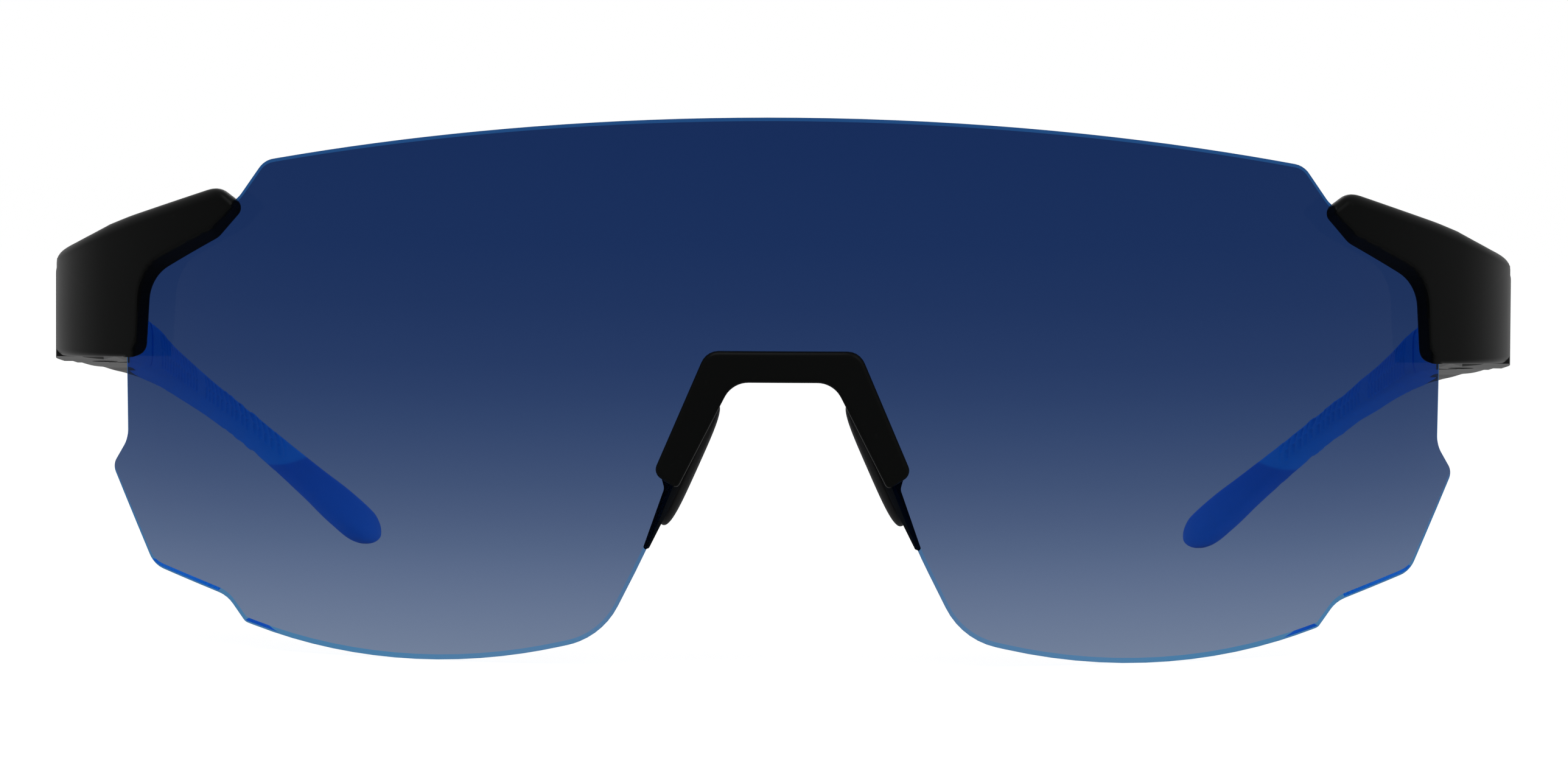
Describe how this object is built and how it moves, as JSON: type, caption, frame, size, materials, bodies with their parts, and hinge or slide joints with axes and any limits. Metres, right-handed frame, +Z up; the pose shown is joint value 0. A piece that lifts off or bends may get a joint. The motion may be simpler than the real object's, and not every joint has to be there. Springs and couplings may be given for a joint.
{
  "type": "wraparound sport sunglasses",
  "caption": "Wraparound sport sunglasses: a one-piece shield lens held at both ends, a nose bridge with soft pads, and folding temples with a ribbed soft inner side.",
  "frame": {"origin": "bottom centre of the bounding box, on the level surface that the lens's lower edge and the temple tips rest on", "axes": "+Z up; -Y the way the wearer looks, through the lens, and +Y towards the temple tips; +X the wearer's left; left and right in names are the wearer's"},
  "size_m": [0.1446, 0.1644, 0.0499],
  "materials": {
    "lens": "dark blue gradient mirror, polished",
    "gloss_black": "gloss black, moulded",
    "satin_black": "satin black, moulded",
    "soft_rubber": "matte dark grey elastomer",
    "blue_rubber": "matte blue elastomer, overmoulded",
    "steel": "plain stainless",
    "brass": "turned"
  },
  "bodies": {
    "front": {"lens": "lens", "bridge": "gloss_black", "nose_pad_bracket": "satin_black", "nose_pad_left": "soft_rubber", "nose_pad_right": "soft_rubber", "endpiece_cover_left": "gloss_black", "endpiece_cover_right": "gloss_black", "hinge_block_left": "satin_black", "hinge_block_right": "satin_black", "lens_gasket_left": "soft_rubber", "lens_gasket_right": "soft_rubber", "clamp_screws_left": "steel", "clamp_screws_right": "steel", "hinge_screw_left": "steel", "hinge_screw_right": "steel", "hinge_insert_left": "brass", "hinge_insert_right": "brass"},
    "left_temple": {"temple_arm_left": "satin_black", "temple_grip_left": "blue_rubber"},
    "right_temple": {"temple_arm_right": "satin_black", "temple_grip_right": "blue_rubber"}
  },
  "joints": [
    {"name": "left_temple_fold", "type": "hinge", "parent": "front", "child": "left_temple", "pos_m": [0.0682, -0.02577, 0.029], "axis": [0, 0, 1], "range_deg": [0, 92]},
    {"name": "right_temple_fold", "type": "hinge", "parent": "front", "child": "right_temple", "pos_m": [-0.0682, -0.02577, 0.029], "axis": [0, 0, -1], "range_deg": [0, 84]}
  ]
}
